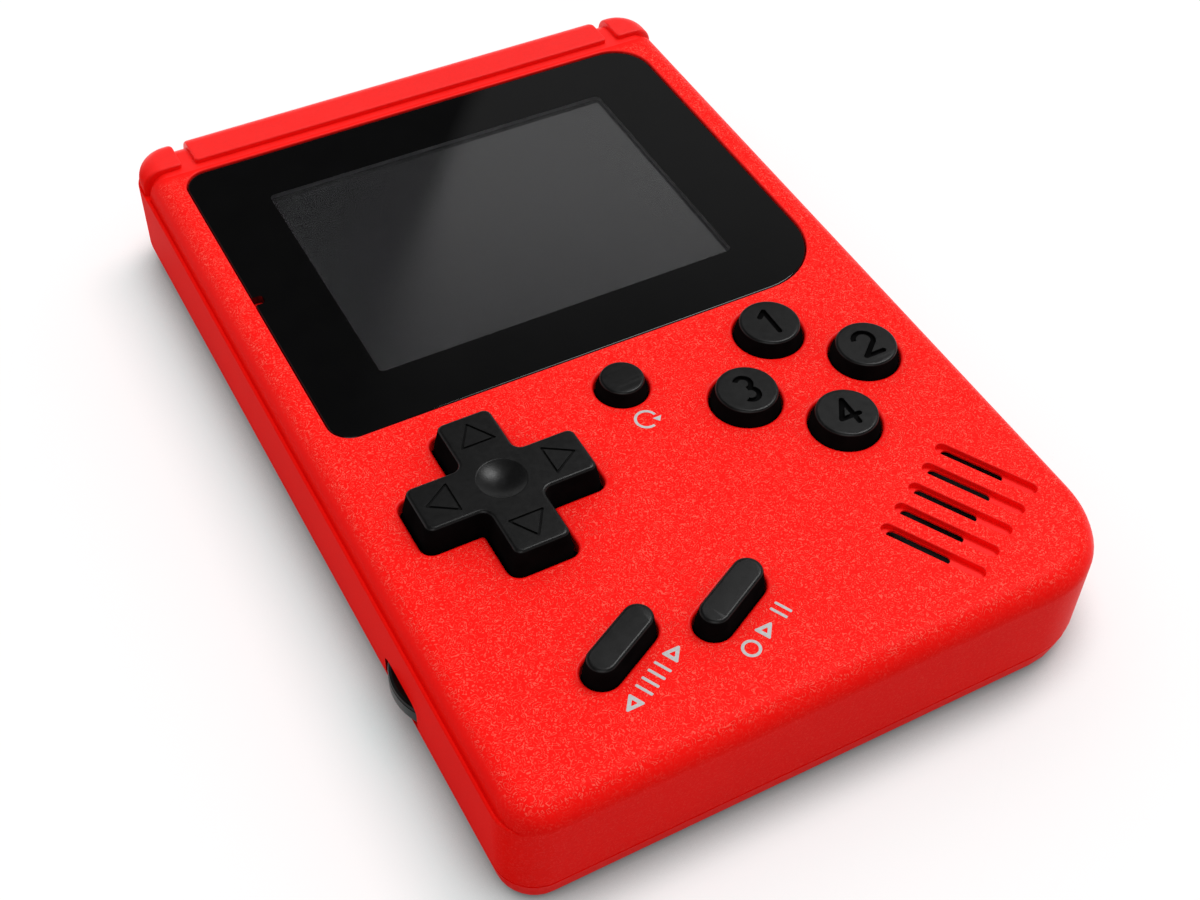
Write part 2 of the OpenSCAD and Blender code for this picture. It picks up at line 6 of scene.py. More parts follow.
import bmesh
import bpy
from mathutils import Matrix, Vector

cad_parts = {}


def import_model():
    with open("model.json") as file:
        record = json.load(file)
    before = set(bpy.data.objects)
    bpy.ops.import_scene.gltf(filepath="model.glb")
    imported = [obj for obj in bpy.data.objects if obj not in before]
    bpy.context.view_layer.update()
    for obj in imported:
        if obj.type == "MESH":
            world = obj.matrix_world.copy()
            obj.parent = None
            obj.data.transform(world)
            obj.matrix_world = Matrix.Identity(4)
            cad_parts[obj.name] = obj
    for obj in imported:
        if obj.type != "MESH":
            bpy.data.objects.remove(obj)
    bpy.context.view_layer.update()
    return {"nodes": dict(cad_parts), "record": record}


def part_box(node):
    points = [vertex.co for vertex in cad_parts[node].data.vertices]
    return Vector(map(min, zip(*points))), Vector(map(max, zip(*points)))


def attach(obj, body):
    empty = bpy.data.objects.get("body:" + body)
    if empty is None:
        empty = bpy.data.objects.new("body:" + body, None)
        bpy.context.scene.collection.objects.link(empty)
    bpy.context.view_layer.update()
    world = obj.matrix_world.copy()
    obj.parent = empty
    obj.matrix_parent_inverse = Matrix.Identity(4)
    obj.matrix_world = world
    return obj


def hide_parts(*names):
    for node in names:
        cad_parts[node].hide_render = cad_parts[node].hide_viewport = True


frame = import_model()

# Everything below is in millimetres until a mesh, lamp or camera is made
MM = 0.001


def box_mm(node):
    low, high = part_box(node)
    return low / MM, high / MM


def middle(node):
    low, high = box_mm(node)
    return (low + high) / 2


# Sizes read from the frame
shell_low, shell_high = box_mm("front_shell")
half_w, half_l, seam_z = shell_high.x, shell_high.y, shell_low.z
lens_low, lens_high = box_mm("screen_lens")
panel_top = box_mm("lcd_panel")[1].z
pad_low, pad_high = box_mm("pad")
wheel_low, wheel_high = box_mm("volume_wheel")
grille_at = middle("speaker_gasket").xy
pad_at = middle("pad").xy

# Case
CAP_RISE = 0.4
face_z = shell_high.z - CAP_RISE
CORNER_R = 5
SPEAKER_CORNER_R = 12
EDGE_R = 2.8
BAND_STEP = 0.6
BAND_ROLL = 0.32
BAND_END = 0.6
GROOVE_DEPTH = 0.3
WALL = 1.8
SEAM_CHAMFER = 0.25
band_z = face_z - EDGE_R
face_in = face_z - WALL

# Top strip: its floor, the bar and the two corner caps
STRIP_DROP = 0.3
STRIP_Y = 52.2
STRIP_SLOPE = 0.35
STRIP_SINK = 0.4
BLOCK_Y = 53.3
BLOCK_STEP, BLOCK_EDGE, BLOCK_CORNER, BLOCK_SINK = 0.25, 0.22, 0.5, 0.35
BASE_INSET, BASE_EDGE, BASE_LAP = 0.3, 0.3, 1
BAR_HALF = 32.08
CAP_INNER = 34.0

# Screen
LENS_GAP = 0.15
LENS_LIP = 0.22
LENS_EDGE = 0.22
LENS_SEAT_GAP = 0.03
WINDOW_AT, WINDOW_W, WINDOW_L = Vector((-0.49, 23.63)), 50.4, 37.4
WINDOW_BOND, WINDOW_DROP = 0.02, 0.003
SHEET_GAP, SHEET_STEP, SHEET_EDGE = 0.02, 0.25, 0.08
LENS_RADII = (3, 9.5, 5.5, 3.2)
NOTCH_W = 1.5
NOTCH_L = 2.8
SCREEN_RISE = 0.5
APERTURE_R = 0.7
LEDGE_W, LEDGE_L = 55.2, 42.5
LEDGE_SHIFT = 0.4
LEDGE_RIM = 1.2
GASKET_W, GASKET_GAP = 1.2, 0.15
lens_mid = Vector(((lens_low.x + lens_high.x) / 2, (lens_low.y + lens_high.y) / 2))
ledge_at = lens_mid + Vector((LEDGE_SHIFT, SCREEN_RISE + LEDGE_SHIFT))

# Controls
HOLE_LIP = 0.4
BUTTON_GAP = 0.25
BUTTON_D, RESET_D = 8.6, 6.4
FLANGE_W, FLANGE_T = 1.2, 1.2
BUTTON_TAPER, BUTTON_EDGE = 0.42, 0.36
PILL_L, PILL_W, PILL_SLANT = 11, 4.2, 27.5
PILL_TAPER, PILL_EDGE = 0.3, 0.45
PAD_SPAN, PAD_ARM = 22.4, 7.8
PAD_GAP = 0.48
PAD_CORNER, PAD_INNER = 1.2, 0.7
PAD_HOLE_CORNER, PAD_HOLE_INNER = 1.5, 0.4
PAD_TAPER, PAD_EDGE = 0.45, 0.45
PAD_DISC_R, PAD_DISC_T = 8.5, 0.9
DISH_R, DISH_DEPTH, DISH_LIP = 2.95, 0.75, 0.12
MARK_APEX, MARK_BASE, MARK_HALF = 9.6, 5.95, 2.35
MARK_LINE, MARK_DEPTH = 0.24, 0.22
TIP_R, INNER_TIP_R = 0.15, 0.08
NUMERAL_H, NUMERAL_W, NUMERAL_DEPTH = 3.9, 2.5, 0.45
STROKE = 0.7
NUMERALS = {"button_top": "1", "button_right": "2", "button_left": "3", "button_bottom": "4"}
PILLS = ("select_button", "start_button")
WHEEL_HOLE_R, WHEEL_GAP, WHEEL_GROOVE = 1.55, 0.25, 0.12

# Speaker slots
SLOT_COUNT, SLOT_PITCH, SLOT_SLANT = 5, 3.7, -60.5
SLOT_L, SLOT_W, SLOT_LIP = 12.9, 1.6, 0.14
SLOT_DEPTH, SLOT_OPEN_L, SLOT_OPEN_SHIFT = 0.75, 7.9, -1.75
SLOT_LEDGE, SLOT_FLARE, SLOT_WALL = 0.12, 0.7, 0.25

# Side openings; a cutter runs past the case by CUT_PAST
CUT_PAST = 5
POCKET_GAP, POCKET_ROLL = 0.4, 0.9
KNOB_SLOT_L, KNOB_SLOT_H, KNOB_SLOT_R = 10.5, 2.9, 0.4
KNOB_SEAT, KNOB_TRAVEL = 1.1, 4
STEM_SLOT_L, STEM_SLOT_H, STEM_SLOT_R = 7.5, 1.9, 0.3
JACK_HOLE_R = 2.3
USB_HOLE_W, USB_HOLE_H, USB_HOLE_R = 7.7, 2.8, 0.5

# Camera, as fitted to the photograph
CAMERA_AT = Vector((-76.95, -138.33, 169.89))
CAMERA_TURN = (42.065, -1.480, -28.358)
CAMERA_LENS, CAMERA_SENSOR = 52.379, 36

# Light: a soft sun, its height and turn in degrees, an even fill, and what the gloss shows
SUN_STRENGTH, SUN_SPREAD = 1.2, 25
SUN_RISE, SUN_TURN = 61, 18
FILL_FRONT, FILL_BACK = 0.3, 1.04
FILL_WAY = Vector((0.45, 0.78, 0.43))
HORIZON_GLOW, CEILING_GLOW, PANEL_GLOW = 0.6, 0.03, 0.2
PANEL_EDGE = Vector((0.755, -0.583, 0.300))
FRONT_GLOW, FRONT_EDGE, FRONT_WAY = 1.6, (0.89, 0.97), Vector((-0.35, -0.62, 0.70))
LEFT_GLOW, LEFT_EDGE, LEFT_WAY = 0.4, (0.88, 0.97), Vector((-0.73, 0.57, 0.37))

# Floor: the lifted part of its white is what keeps a red object's shadow neutral
FLOOR_SIZE, FLOOR_INSET, FLOOR_Z = 12000, 1.75, -0.08
FLOOR_WHITE = (0.6, 0.6, 0.6, 1)
FLOOR_SHADE, FLOOR_LIFT = (0.66, 0.48, 0.48, 1), (0.29, 0.48, 0.48, 1)
# The floor's painted contact shadow: how far it reaches and how dark it gets
CONTACT_REACH, PAINTED_CONTACT_SHADOW = 7, 0.2


# Outlines: lists of points in plan, anticlockwise


def rounded_polygon(corners, radii, arc=8):
    """Outline of a polygon whose corners are turned into arcs."""
    points = []
    for k, r in enumerate(radii):
        corner = Vector(corners[k])
        before = (Vector(corners[k - 1]) - corner).normalized()
        after = (Vector(corners[(k + 1) % len(corners)]) - corner).normalized()
        half = before.angle(after) / 2
        centre = corner + (before + after).normalized() * r / math.sin(half)
        start = corner + before * r / math.tan(half) - centre
        end = corner + after * r / math.tan(half) - centre
        first = math.atan2(start.y, start.x)
        sweep = math.remainder(math.atan2(end.y, end.x) - first, math.tau)
        for i in range(arc + 1):
            a = first + sweep * i / arc
            points.append(centre + Vector((math.cos(a), math.sin(a))) * r)
    return points


def round_rect(x0, x1, y0, y1, radii, arc=8):
    """Radii are for the bottom left, bottom right, top right and top left corner."""
    return rounded_polygon([(x0, y0), (x1, y0), (x1, y1), (x0, y1)], radii, arc)


def centred_rect(at, w, l, r, arc=6):
    return round_rect(at[0] - w / 2, at[0] + w / 2, at[1] - l / 2, at[1] + l / 2, [r] * 4, arc)


def circle(at, r, count=72):
    turns = [math.tau * k / count for k in range(count)]
    return [Vector((at[0] + r * math.cos(a), at[1] + r * math.sin(a))) for a in turns]


def turned(points, at, degrees):
    a = math.radians(degrees)
    c, s = math.cos(a), math.sin(a)
    return [Vector((at[0] + p[0] * c - p[1] * s, at[1] + p[0] * s + p[1] * c)) for p in points]


def pill(at, length, width, degrees, arc=16):
    flat = (length - width) / 2
    points = []
    for side in (1, -1):
        for k in range(arc + 1):
            a = math.radians(-90 + 180 * k / arc)
            points.append((side * (flat + width / 2 * math.cos(a)), side * width / 2 * math.sin(a)))
    return turned(points, at, degrees)


def cross(at, span, arm, outer_r, inner_r):
    """The pad's outline, with round outer corners and small fillets in its inner ones."""
    s, a = span / 2, arm / 2
    quarter = [(a, -s), (a, -a), (s, -a)]
    corners = []
    for degrees in (0, 90, 180, 270):
        corners += turned(quarter, at, degrees)
    return rounded_polygon(corners, [outer_r, inner_r, outer_r] * 4, 6)


def case_outline(inset, step=0.0):
    small, large = CORNER_R - inset, SPEAKER_CORNER_R - inset
    side = half_w - inset - step
    top = half_l - inset - step
    return round_rect(-side, side, -half_l + inset, top, (small, large, small, small), 16)


def band_share(at, inner):
    """One along the sides and the top, fading out round the two lower corners."""
    if at.y > 0:
        return 1.0
    sideways = abs((at - inner).normalized().x)
    return max(0.0, (sideways - BAND_END) / (1 - BAND_END))


def band_outline(inset, step):
    """The case's outline, stepped in where the band runs."""
    points = []
    for a, b, inner in zip(case_outline(inset), case_outline(inset, step), case_outline(inset + 0.1)):
        points.append(a + (b - a) * band_share(a, inner))
    return points


def lens_outline(grow):
    radii = [r + grow for r in LENS_RADII]
    x0, x1 = lens_low.x - grow, lens_high.x + grow
    return round_rect(x0, x1, lens_low.y - grow, lens_high.y + grow, radii, 12)


# Meshes from rings


class Skin:
    """A closed mesh that is put together from rings of points, in millimetres."""

    def __init__(self):
        self.mesh = bmesh.new()

    def ring(self, outline, z):
        heights = z if isinstance(z, list) else [z] * len(outline)
        return [self.mesh.verts.new(Vector((p[0], p[1], h)) * MM) for p, h in zip(outline, heights)]

    def loft(self, *rings, slot=0):
        for low, high in zip(rings, rings[1:]):
            for k in range(len(low)):
                after = (k + 1) % len(low)
                face = self.mesh.faces.new((low[k], low[after], high[after], high[k]))
                face.material_index = slot

    def fill(self, *loops, slot=0):
        """Fills the flat area inside the first loop and outside the others."""
        edges = []
        for loop in loops:
            for a, b in zip(loop, loop[1:] + loop[:1]):
                edges.append(self.mesh.edges.get((a, b)) or self.mesh.edges.new((a, b)))
        filled = bmesh.ops.triangle_fill(self.mesh, use_beauty=True, edges=edges)
        for face in filled["geom"]:
            if isinstance(face, bmesh.types.BMFace):
                face.material_index = slot

    def solid(self, levels):
        """A closed stack of outlines, each with its height."""
        rings = [self.ring(outline, z) for outline, z in levels]
        self.loft(*rings)
        self.fill(rings[0])
        self.fill(rings[-1])

    def lip(self, shape, z, radius, steps=4, slot=1):
        """Rings that round the edge of a hole; shape gives its outline when grown."""
        rings = []
        for k in range(steps + 1):
            a = math.radians(90 * k / steps)
            rings.append(self.ring(shape(radius * (1 - math.sin(a))), z - radius * (1 - math.cos(a))))
        self.loft(*rings, slot=slot)
        return rings[0], rings[-1]

    def object(self, name):
        bmesh.ops.recalc_face_normals(self.mesh, faces=self.mesh.faces)
        data = bpy.data.meshes.new(name)
        self.mesh.to_mesh(data)
        self.mesh.free()
        made = bpy.data.objects.new(name, data)
        bpy.context.scene.collection.objects.link(made)
        return made


def lathe(at, profile, count=72):
    """A closed turned solid from (radius, height) pairs."""
    skin = Skin()
    skin.solid([(circle(at, r, count), z) for r, z in profile])
    return skin


def arc_profile(r, z, radius, steps=5):
    """Radius and height pairs that round the upper edge of a turned or lofted form."""
    pairs = []
    for k in range(steps + 1):
        a = math.radians(90 * k / steps)
        pairs.append((r - radius * (1 - math.cos(a)), z - radius * (1 - math.sin(a))))
    return pairs


def apply_modifiers(made):
    graph = bpy.context.evaluated_depsgraph_get()
    data = bpy.data.meshes.new_from_object(made.evaluated_get(graph))
    made.modifiers.clear()
    made.data = data


def cut(made, *cutters):
    """Takes the cutters' volumes out of a mesh."""
    for cutter in cutters:
        step = made.modifiers.new("cut", "BOOLEAN")
        step.operation = "DIFFERENCE"
        step.solver = "EXACT"
        step.object = cutter
    bpy.context.view_layer.update()
    apply_modifiers(made)
    for cutter in cutters:
        bpy.data.objects.remove(cutter)


def dress(made, body, slot, *finishes, replaces=(), angle=32):
    """Smooth shading, materials, and the body that the piece rides on."""
    if finishes and made.data.materials:
        made.data.materials.clear()
    for finish in finishes:
        made.data.materials.append(finish)
    made.data.shade_smooth()
    made.data.set_sharp_from_angle(angle=math.radians(angle))
    even = made.modifiers.new("even shading", "WEIGHTED_NORMAL")
    even.keep_sharp = True
    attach(made, body)
    if replaces:
        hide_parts(*replaces)
    return made


# Materials


class Nodes:
    """Short calls for the nodes of a material or of the world."""

    def __init__(self, tree):
        self.tree = tree

    def node(self, kind, **settings):
        made = self.tree.nodes.new(kind)
        for key, value in settings.items():
            setattr(made, key, value)
        return made

    def feed(self, target, value):
        if hasattr(value, "links"):
            self.tree.links.new(value, target)
        else:
            target.default_value = value

    def math(self, operation, a, b=0.0):
        made = self.node("ShaderNodeMath", operation=operation)
        self.feed(made.inputs[0], a)
        self.feed(made.inputs[1], b)
        return made.outputs[0]

    def ramp(self, value, low, high, to_low=0.0, to_high=1.0):
        made = self.node("ShaderNodeMapRange", interpolation_type="SMOOTHSTEP")
        for socket, entry in zip(made.inputs, (value, low, high, to_low, to_high)):
            self.feed(socket, entry)
        return made.outputs[0]

    def mix(self, factor, first, second, kind="RGBA"):
        made = self.node("ShaderNodeMix", data_type="RGBA" if kind == "RGBA" else "FLOAT")
        ends = [s for s in made.inputs if s.type == kind and s.name in "AB"]
        self.feed(made.inputs["Factor"], factor)
        self.feed(ends[0], first)
        self.feed(ends[1], second)
        return next(s for s in made.outputs if s.type == kind)

    def dot(self, a, b):
        made = self.node("ShaderNodeVectorMath", operation="DOT_PRODUCT")
        self.feed(made.inputs[0], a)
        self.feed(made.inputs[1], b)
        return made.outputs["Value"]

    def direct(self):
        """One where the camera looks straight at it."""
        return self.node("ShaderNodeLightPath").outputs["Is Camera Ray"]

    def by_gloss(self):
        """One where it shows in gloss or through glass."""
        paths = self.node("ShaderNodeLightPath").outputs
        return self.math("MAXIMUM", paths["Is Glossy Ray"], paths["Is Transmission Ray"])

    def seen(self):
        """One where the camera sees it, also by way of gloss or glass."""
        return self.math("MAXIMUM", self.direct(), self.by_gloss())


class Finish(Nodes):
    """A material with one Principled shader, in millimetres."""

    def __init__(self, name, **constants):
        self.material = bpy.data.materials.new(name)
        self.material.use_nodes = True
        super().__init__(self.material.node_tree)
        self.shader = self.tree.nodes["Principled BSDF"]
        for socket, value in constants.items():
            self.shader.inputs[socket.replace("_", " ")].default_value = value
        place = self.node("ShaderNodeTexCoord")
        scaled = self.node("ShaderNodeVectorMath", operation="SCALE")
        self.tree.links.new(place.outputs["Object"], scaled.inputs[0])
        scaled.inputs["Scale"].default_value = 1 / MM
        self.place = scaled.outputs["Vector"]

    def set(self, socket, value):
        self.feed(self.shader.inputs[socket], value)

    def axis(self, name):
        made = self.node("ShaderNodeSeparateXYZ")
        self.tree.links.new(self.place, made.inputs[0])
        return made.outputs[name]

    def noise(self, scale, detail=2.0, roughness=0.5, distortion=0.0):
        """Noise whose features are about 1 / scale millimetres."""
        made = self.node("ShaderNodeTexNoise")
        self.tree.links.new(self.place, made.inputs["Vector"])
        made.inputs["Scale"].default_value = scale
        made.inputs["Detail"].default_value = detail
        made.inputs["Roughness"].default_value = roughness
        made.inputs["Distortion"].default_value = distortion
        return made.outputs["Fac"]

    def bump(self, height, depth, strength=1.0):
        made = self.node("ShaderNodeBump")
        made.inputs["Strength"].default_value = strength
        made.inputs["Distance"].default_value = depth * MM
        self.feed(made.inputs["Height"], height)
        self.set("Normal", made.outputs["Normal"])


RED, DEEP_RED = (0.96, 0.007, 0.0045, 1), (0.91, 0.006, 0.004, 1)
# Paler red mixed onto the grain's ridges is a painted highlight: it stands in for the glints that light
# makes on them
PAINTED_GLINT_RED = (1.0, 0.085, 0.06, 1)
FACE_GLOSS = 0.045
GRAIN_SCALE, GRAIN_TURNS = 2.3, 19.0
KEY_BLACK, KEY_GREY = (0.003, 0.003, 0.0031, 1), (0.0045, 0.0045, 0.0046, 1)
KEY_ROUGHNESS, KEY_GLOSS = 0.34, 0.35


def worm_grain(finish):
    """Moulded leather grain: short raised worms along the contours of a noise."""
    drift = finish.noise(GRAIN_SCALE, detail=0.0, distortion=0.4)
    wave = finish.math("SINE", finish.math("MULTIPLY", drift, GRAIN_TURNS))
    worms = finish.ramp(wave, 0.45, 1.0)
    beads = finish.ramp(finish.noise(1.4, detail=0.0), 0.35, 0.6, 0.4, 1.0)
    return finish.math("MULTIPLY", worms, beads)


def grained_area(finish):
    """The face below the strip, the bottom wall and its corners."""
    on_face = finish.ramp(finish.axis("Z"), face_z - 0.36 * EDGE_R, face_z - 0.12 * EDGE_R)
    low_end = finish.ramp(finish.axis("Y"), -half_l + 6.5, -half_l + 3.5)
    below_strip = finish.ramp(finish.axis("Y"), STRIP_Y - 0.6, STRIP_Y - 2.0)
    faint = finish.math("MULTIPLY", low_end, 0.25)
    return finish.math("MULTIPLY", finish.math("MAXIMUM", on_face, faint), below_strip)


def shell_tone(finish):
    """Red with a broad drift and a fine mottle."""
    mottle = finish.math("ADD", finish.noise(0.06), finish.noise(2.2, detail=4.0, roughness=0.65))
    return finish.mix(finish.ramp(mottle, 0.75, 1.25), RED, DEEP_RED)


def wall_gloss(finish, most=0.16):
    """Satin walls; the left one is matt and the bottom one nearly so."""
    across = finish.ramp(finish.axis("X"), -half_w + 0.5, -half_w + 3.5, 0.02, 1.0)
    along = finish.ramp(finish.axis("Y"), -half_l + 0.5, -half_l + 6, 0.015, most)
    return finish.math("MULTIPLY", across, along)


def satin_shell(name, most):
    finish = Finish(name, IOR=1.5)
    finish.set("Base Color", shell_tone(finish))
    finish.set("Specular IOR Level", wall_gloss(finish, most))
    finish.set("Roughness", finish.ramp(finish.noise(0.8), 0.2, 0.8, 0.34, 0.42))
    finish.bump(finish.noise(6.0, detail=3.0), 0.008)
    return finish.material


def grained_shell():
    finish = Finish("shell_red_grained", IOR=1.5)
    ridges_and_painted_glints = finish.math("MULTIPLY", worm_grain(finish), grained_area(finish))
    on_face = finish.ramp(finish.axis("Z"), band_z + 0.5, face_z)
    # The ridges take the paler red as a painted highlight; the roughness and bump below are the grain
    # itself
    finish.set("Base Color", finish.mix(ridges_and_painted_glints, shell_tone(finish), PAINTED_GLINT_RED))
    finish.set("Specular IOR Level", finish.mix(on_face, wall_gloss(finish), FACE_GLOSS, "VALUE"))
    finish.set("Roughness", finish.ramp(ridges_and_painted_glints, 0.0, 1.0, 0.40, 0.30))
    micro = finish.math("MULTIPLY", finish.noise(6.0, detail=3.0), 0.2)
    finish.bump(finish.math("ADD", ridges_and_painted_glints, micro), 0.025)
    return finish.material


def key_finish(name, roughness, gloss, top=0.0):
    """Black plastic, satin on top and dull on its sides."""
    finish = Finish(name, IOR=1.48)
    finish.set("Specular IOR Level", finish.ramp(finish.axis("Z"), top - 0.28, top - 0.15, 0.0, gloss))
    finish.set("Base Color", finish.mix(finish.ramp(finish.noise(0.4), 0.3, 0.7), KEY_BLACK, KEY_GREY))
    finish.set("Roughness", finish.ramp(finish.noise(1.5), 0.25, 0.75, roughness - 0.03, roughness + 0.03))
    finish.bump(finish.noise(7.0, detail=3.0), 0.005)
    return finish.material


def clear_finish():
    finish = Finish("clear_acrylic", Base_Color=(1, 1, 1, 1), IOR=1.49, Transmission_Weight=1.0)
    finish.set("Roughness", finish.ramp(finish.noise(0.3), 0.3, 0.7, 0.0, 0.012))
    return finish.material


def border_finish():
    """Black print behind clear acrylic, drawn as one glossy body."""
    finish = Finish("border_black", IOR=1.49)
    tone = finish.ramp(finish.noise(0.2), 0.3, 0.7)
    finish.set("Base Color", finish.mix(tone, (0.0016, 0.0016, 0.0017, 1), (0.002, 0.002, 0.0021, 1)))
    finish.set("Roughness", finish.ramp(finish.noise(0.3), 0.3, 0.7, 0.01, 0.03))
    return finish.material


def ink_finish(name, colour, roughness, gloss):
    finish = Finish(name, Specular_IOR_Level=gloss)
    pale = tuple(1.15 * c for c in colour[:3]) + (1,)
    finish.set("Base Color", finish.mix(finish.ramp(finish.noise(3.0), 0.3, 0.7), colour, pale))
    finish.set("Roughness", finish.ramp(finish.noise(6.0), 0.2, 0.8, roughness, roughness + 0.1))
    return finish.material


def panel_finish():
    """The dark screen: a grey picture area inside a darker frame."""
    finish = Finish("screen_panel", IOR=2.7)
    edge = 0.05
    inside = 1.0
    for name, centre, size in (("X", WINDOW_AT.x, WINDOW_W), ("Y", WINDOW_AT.y, WINDOW_L)):
        away = finish.math("ABSOLUTE", finish.math("SUBTRACT", finish.axis(name), centre))
        inside = finish.math("MULTIPLY", inside, finish.ramp(away, size / 2 + edge, size / 2 - edge))
    finish.set("Base Color", finish.mix(inside, (0.04, 0.04, 0.042, 1), (0.05, 0.051, 0.055, 1)))
    finish.set("Roughness", finish.ramp(finish.noise(12.0), 0.2, 0.8, 0.05, 0.08))
    return finish.material


def plain_finish(name, colour, roughness, metallic=0.0, scale=1.0, depth=0.01, spread=0.2):
    """A moulded, plated or rubber surface with a slight mottle and fine unevenness."""
    finish = Finish(name, Metallic=metallic)
    dark = tuple((1 - spread) * c for c in colour) + (1,)
    finish.set("Base Color", finish.mix(finish.ramp(finish.noise(scale), 0.3, 0.7), (*colour, 1), dark))
    finish.set("Roughness", finish.ramp(finish.noise(3 * scale), 0.2, 0.8, roughness, roughness + 0.12))
    finish.bump(finish.noise(8 * scale, detail=3.0), depth)
    return finish.material


face_red = grained_shell()
satin_red = satin_shell("shell_red_satin", 0.16)
strip_red = satin_shell("shell_red_strip", 0.3)
pad_black = key_finish("pad_black", KEY_ROUGHNESS, KEY_GLOSS, pad_high.z)
dish_black = key_finish("dish_black", KEY_ROUGHNESS, KEY_GLOSS)
wheel_black = key_finish("wheel_black", 0.30, 0.14)
clear = clear_finish()
border_black = border_finish()
edge_grey = plain_finish("lens_edge_grey", (0.1, 0.1, 0.103), 0.6)
print_grey = ink_finish("print_grey", (0.46, 0.46, 0.46, 1), 0.5, 0.3)
screen_grey = panel_finish()
foam_black = plain_finish("foam_black", (0.008, 0.008, 0.008), 0.9, depth=0.03)


# Front shell


def pad_hole(grow):
    wider = 2 * (PAD_GAP + grow)
    return cross(pad_at, PAD_SPAN + wider, PAD_ARM + wider, PAD_HOLE_CORNER + grow, PAD_HOLE_INNER)


def face_holes():
    """Holes through the face, each a function from growth to outline."""
    holes = [pad_hole]
    for node, d in [(n, BUTTON_D) for n in NUMERALS] + [("reset_button", RESET_D)]:
        holes.append(lambda g, at=middle(node), r=d / 2 + BUTTON_GAP: circle(at, r + g))
    for node in PILLS:
        holes.append(lambda g, at=middle(node): pill(
            at, PILL_L + 2 * (BUTTON_GAP + g), PILL_W + 2 * (BUTTON_GAP + g), PILL_SLANT))
    return holes


def speaker_slot(skin, shift):
    """One slot: a blind trough, open at its floor; returns its loops in the outer and inner face."""
    trough_at = turned([(0, shift)], grille_at, SLOT_SLANT)[0]
    open_at = turned([(SLOT_OPEN_SHIFT, shift)], grille_at, SLOT_SLANT)[0]

    def trough(grow):
        return pill(trough_at, SLOT_L + 2 * grow, SLOT_W + 2 * grow, SLOT_SLANT)

    top, low = skin.lip(trough, face_z, SLOT_LIP)
    floor_z = face_z - SLOT_DEPTH
    floor = skin.ring(trough(0), floor_z)
    skin.loft(low, floor, slot=1)
    width = SLOT_W - 2 * SLOT_LEDGE
    mouth = skin.ring(pill(open_at, SLOT_OPEN_L, width, SLOT_SLANT), floor_z)
    skin.fill(floor, mouth, slot=1)
    neck = skin.ring(pill(open_at, SLOT_OPEN_L, width, SLOT_SLANT), floor_z - SLOT_WALL)
    grown = 2 * SLOT_FLARE
    back = skin.ring(pill(open_at, SLOT_OPEN_L + grown, width + grown, SLOT_SLANT), face_in)
    skin.loft(mouth, neck, back)
    return top, back


def lens_seat(skin):
    """The recess for the lens, its ledge and the frame behind it."""
    top, low = skin.lip(lambda g: lens_outline(LENS_GAP + g), face_z, LENS_LIP)
    seat = skin.ring(lens_outline(LENS_GAP), lens_low.z)
    skin.loft(low, seat)
    opening = centred_rect(ledge_at, LEDGE_W, LEDGE_L, 1.0)
    upper = skin.ring(opening, lens_low.z)
    lower = skin.ring(opening, panel_top)
    skin.fill(seat, upper)
    skin.loft(upper, lower)
    rim_low = skin.ring(lens_outline(LEDGE_RIM), panel_top)
    rim_high = skin.ring(lens_outline(LEDGE_RIM), face_in)
    skin.fill(rim_low, lower)
    skin.loft(rim_low, rim_high)
    return top, rim_high


def case_wall(skin):
    """Rings from the seam up over the side bands and the rounded edge to the face."""
    share = [band_share(a, inner) for a, inner in zip(case_outline(0), case_outline(0.1))]
    rings = [
        skin.ring(case_outline(SEAM_CHAMFER), seam_z),
        skin.ring(case_outline(0), seam_z + SEAM_CHAMFER),
        skin.ring(case_outline(0), band_z - 1.5 * BAND_ROLL),
    ]
    # Each ring lies a little above the last one, also where the band has faded out
    rise = 0.02
    for k in range(1, 6):
        a = math.radians(18 * k)
        drop = BAND_ROLL * (1 - math.sin(a))
        heights = [band_z - rise * (9 - k) - drop * s for s in share]
        rings.append(skin.ring(band_outline(0, BAND_ROLL * (1 - math.cos(a))), heights))
    for k, step in ((6, BAND_STEP - 0.12), (7, BAND_STEP)):
        heights = [band_z - rise * (9 - k) - GROOVE_DEPTH * s for s in share]
        rings.append(skin.ring(band_outline(0, step), heights))
    for k in range(13):
        a = math.radians(7.5 * k)
        outline = band_outline(EDGE_R * (1 - math.cos(a)), BAND_STEP)
        rings.append(skin.ring(outline, band_z + EDGE_R * math.sin(a)))
    skin.loft(*rings)
    return rings[0], rings[-1]


def prism(outline, ends, corner):
    """A cutter with the same outline at two ends; corner places an outline's point at one of them."""
    skin = Skin()
    loops = []
    for end in ends:
        loops.append([skin.mesh.verts.new(Vector(corner(end, p)) * MM) for p in outline])
    skin.loft(*loops)
    for loop in loops:
        skin.fill(loop)
    return skin.object("cutter")


def prism_along_x(outline, x0, x1):
    """A cutter from a closed outline in Y and Z."""
    return prism(outline, (x0, x1), lambda x, p: (x, p[0], p[1]))


def prism_along_y(outline, y0, y1):
    """A cutter from a closed outline in X and Z."""
    return prism(outline, (y0, y1), lambda y, p: (p[0], y, p[1]))


def strip_cutter():
    """The room above the top strip, with a slope down from the face."""
    low_z, high_z = band_z - STRIP_SINK, face_z + CUT_PAST
    slope_y, far_y = STRIP_Y - STRIP_SLOPE, half_l + CUT_PAST
    profile = [
        (STRIP_Y, low_z), (far_y, low_z), (far_y, high_z), (slope_y - CUT_PAST, high_z),
        (slope_y, face_z), (STRIP_Y, face_z - STRIP_SLOPE)]
    return prism_along_x(profile, -half_w - CUT_PAST, half_w + CUT_PAST)


def wheel_pocket():
    radius = (wheel_high.x - wheel_low.x) / 2 + POCKET_GAP
    roof = arc_profile(radius, wheel_high.z + POCKET_GAP, POCKET_ROLL)
    return lathe(middle("volume_wheel").xy, [(radius, seam_z - CUT_PAST)] + roof).object("cutter")


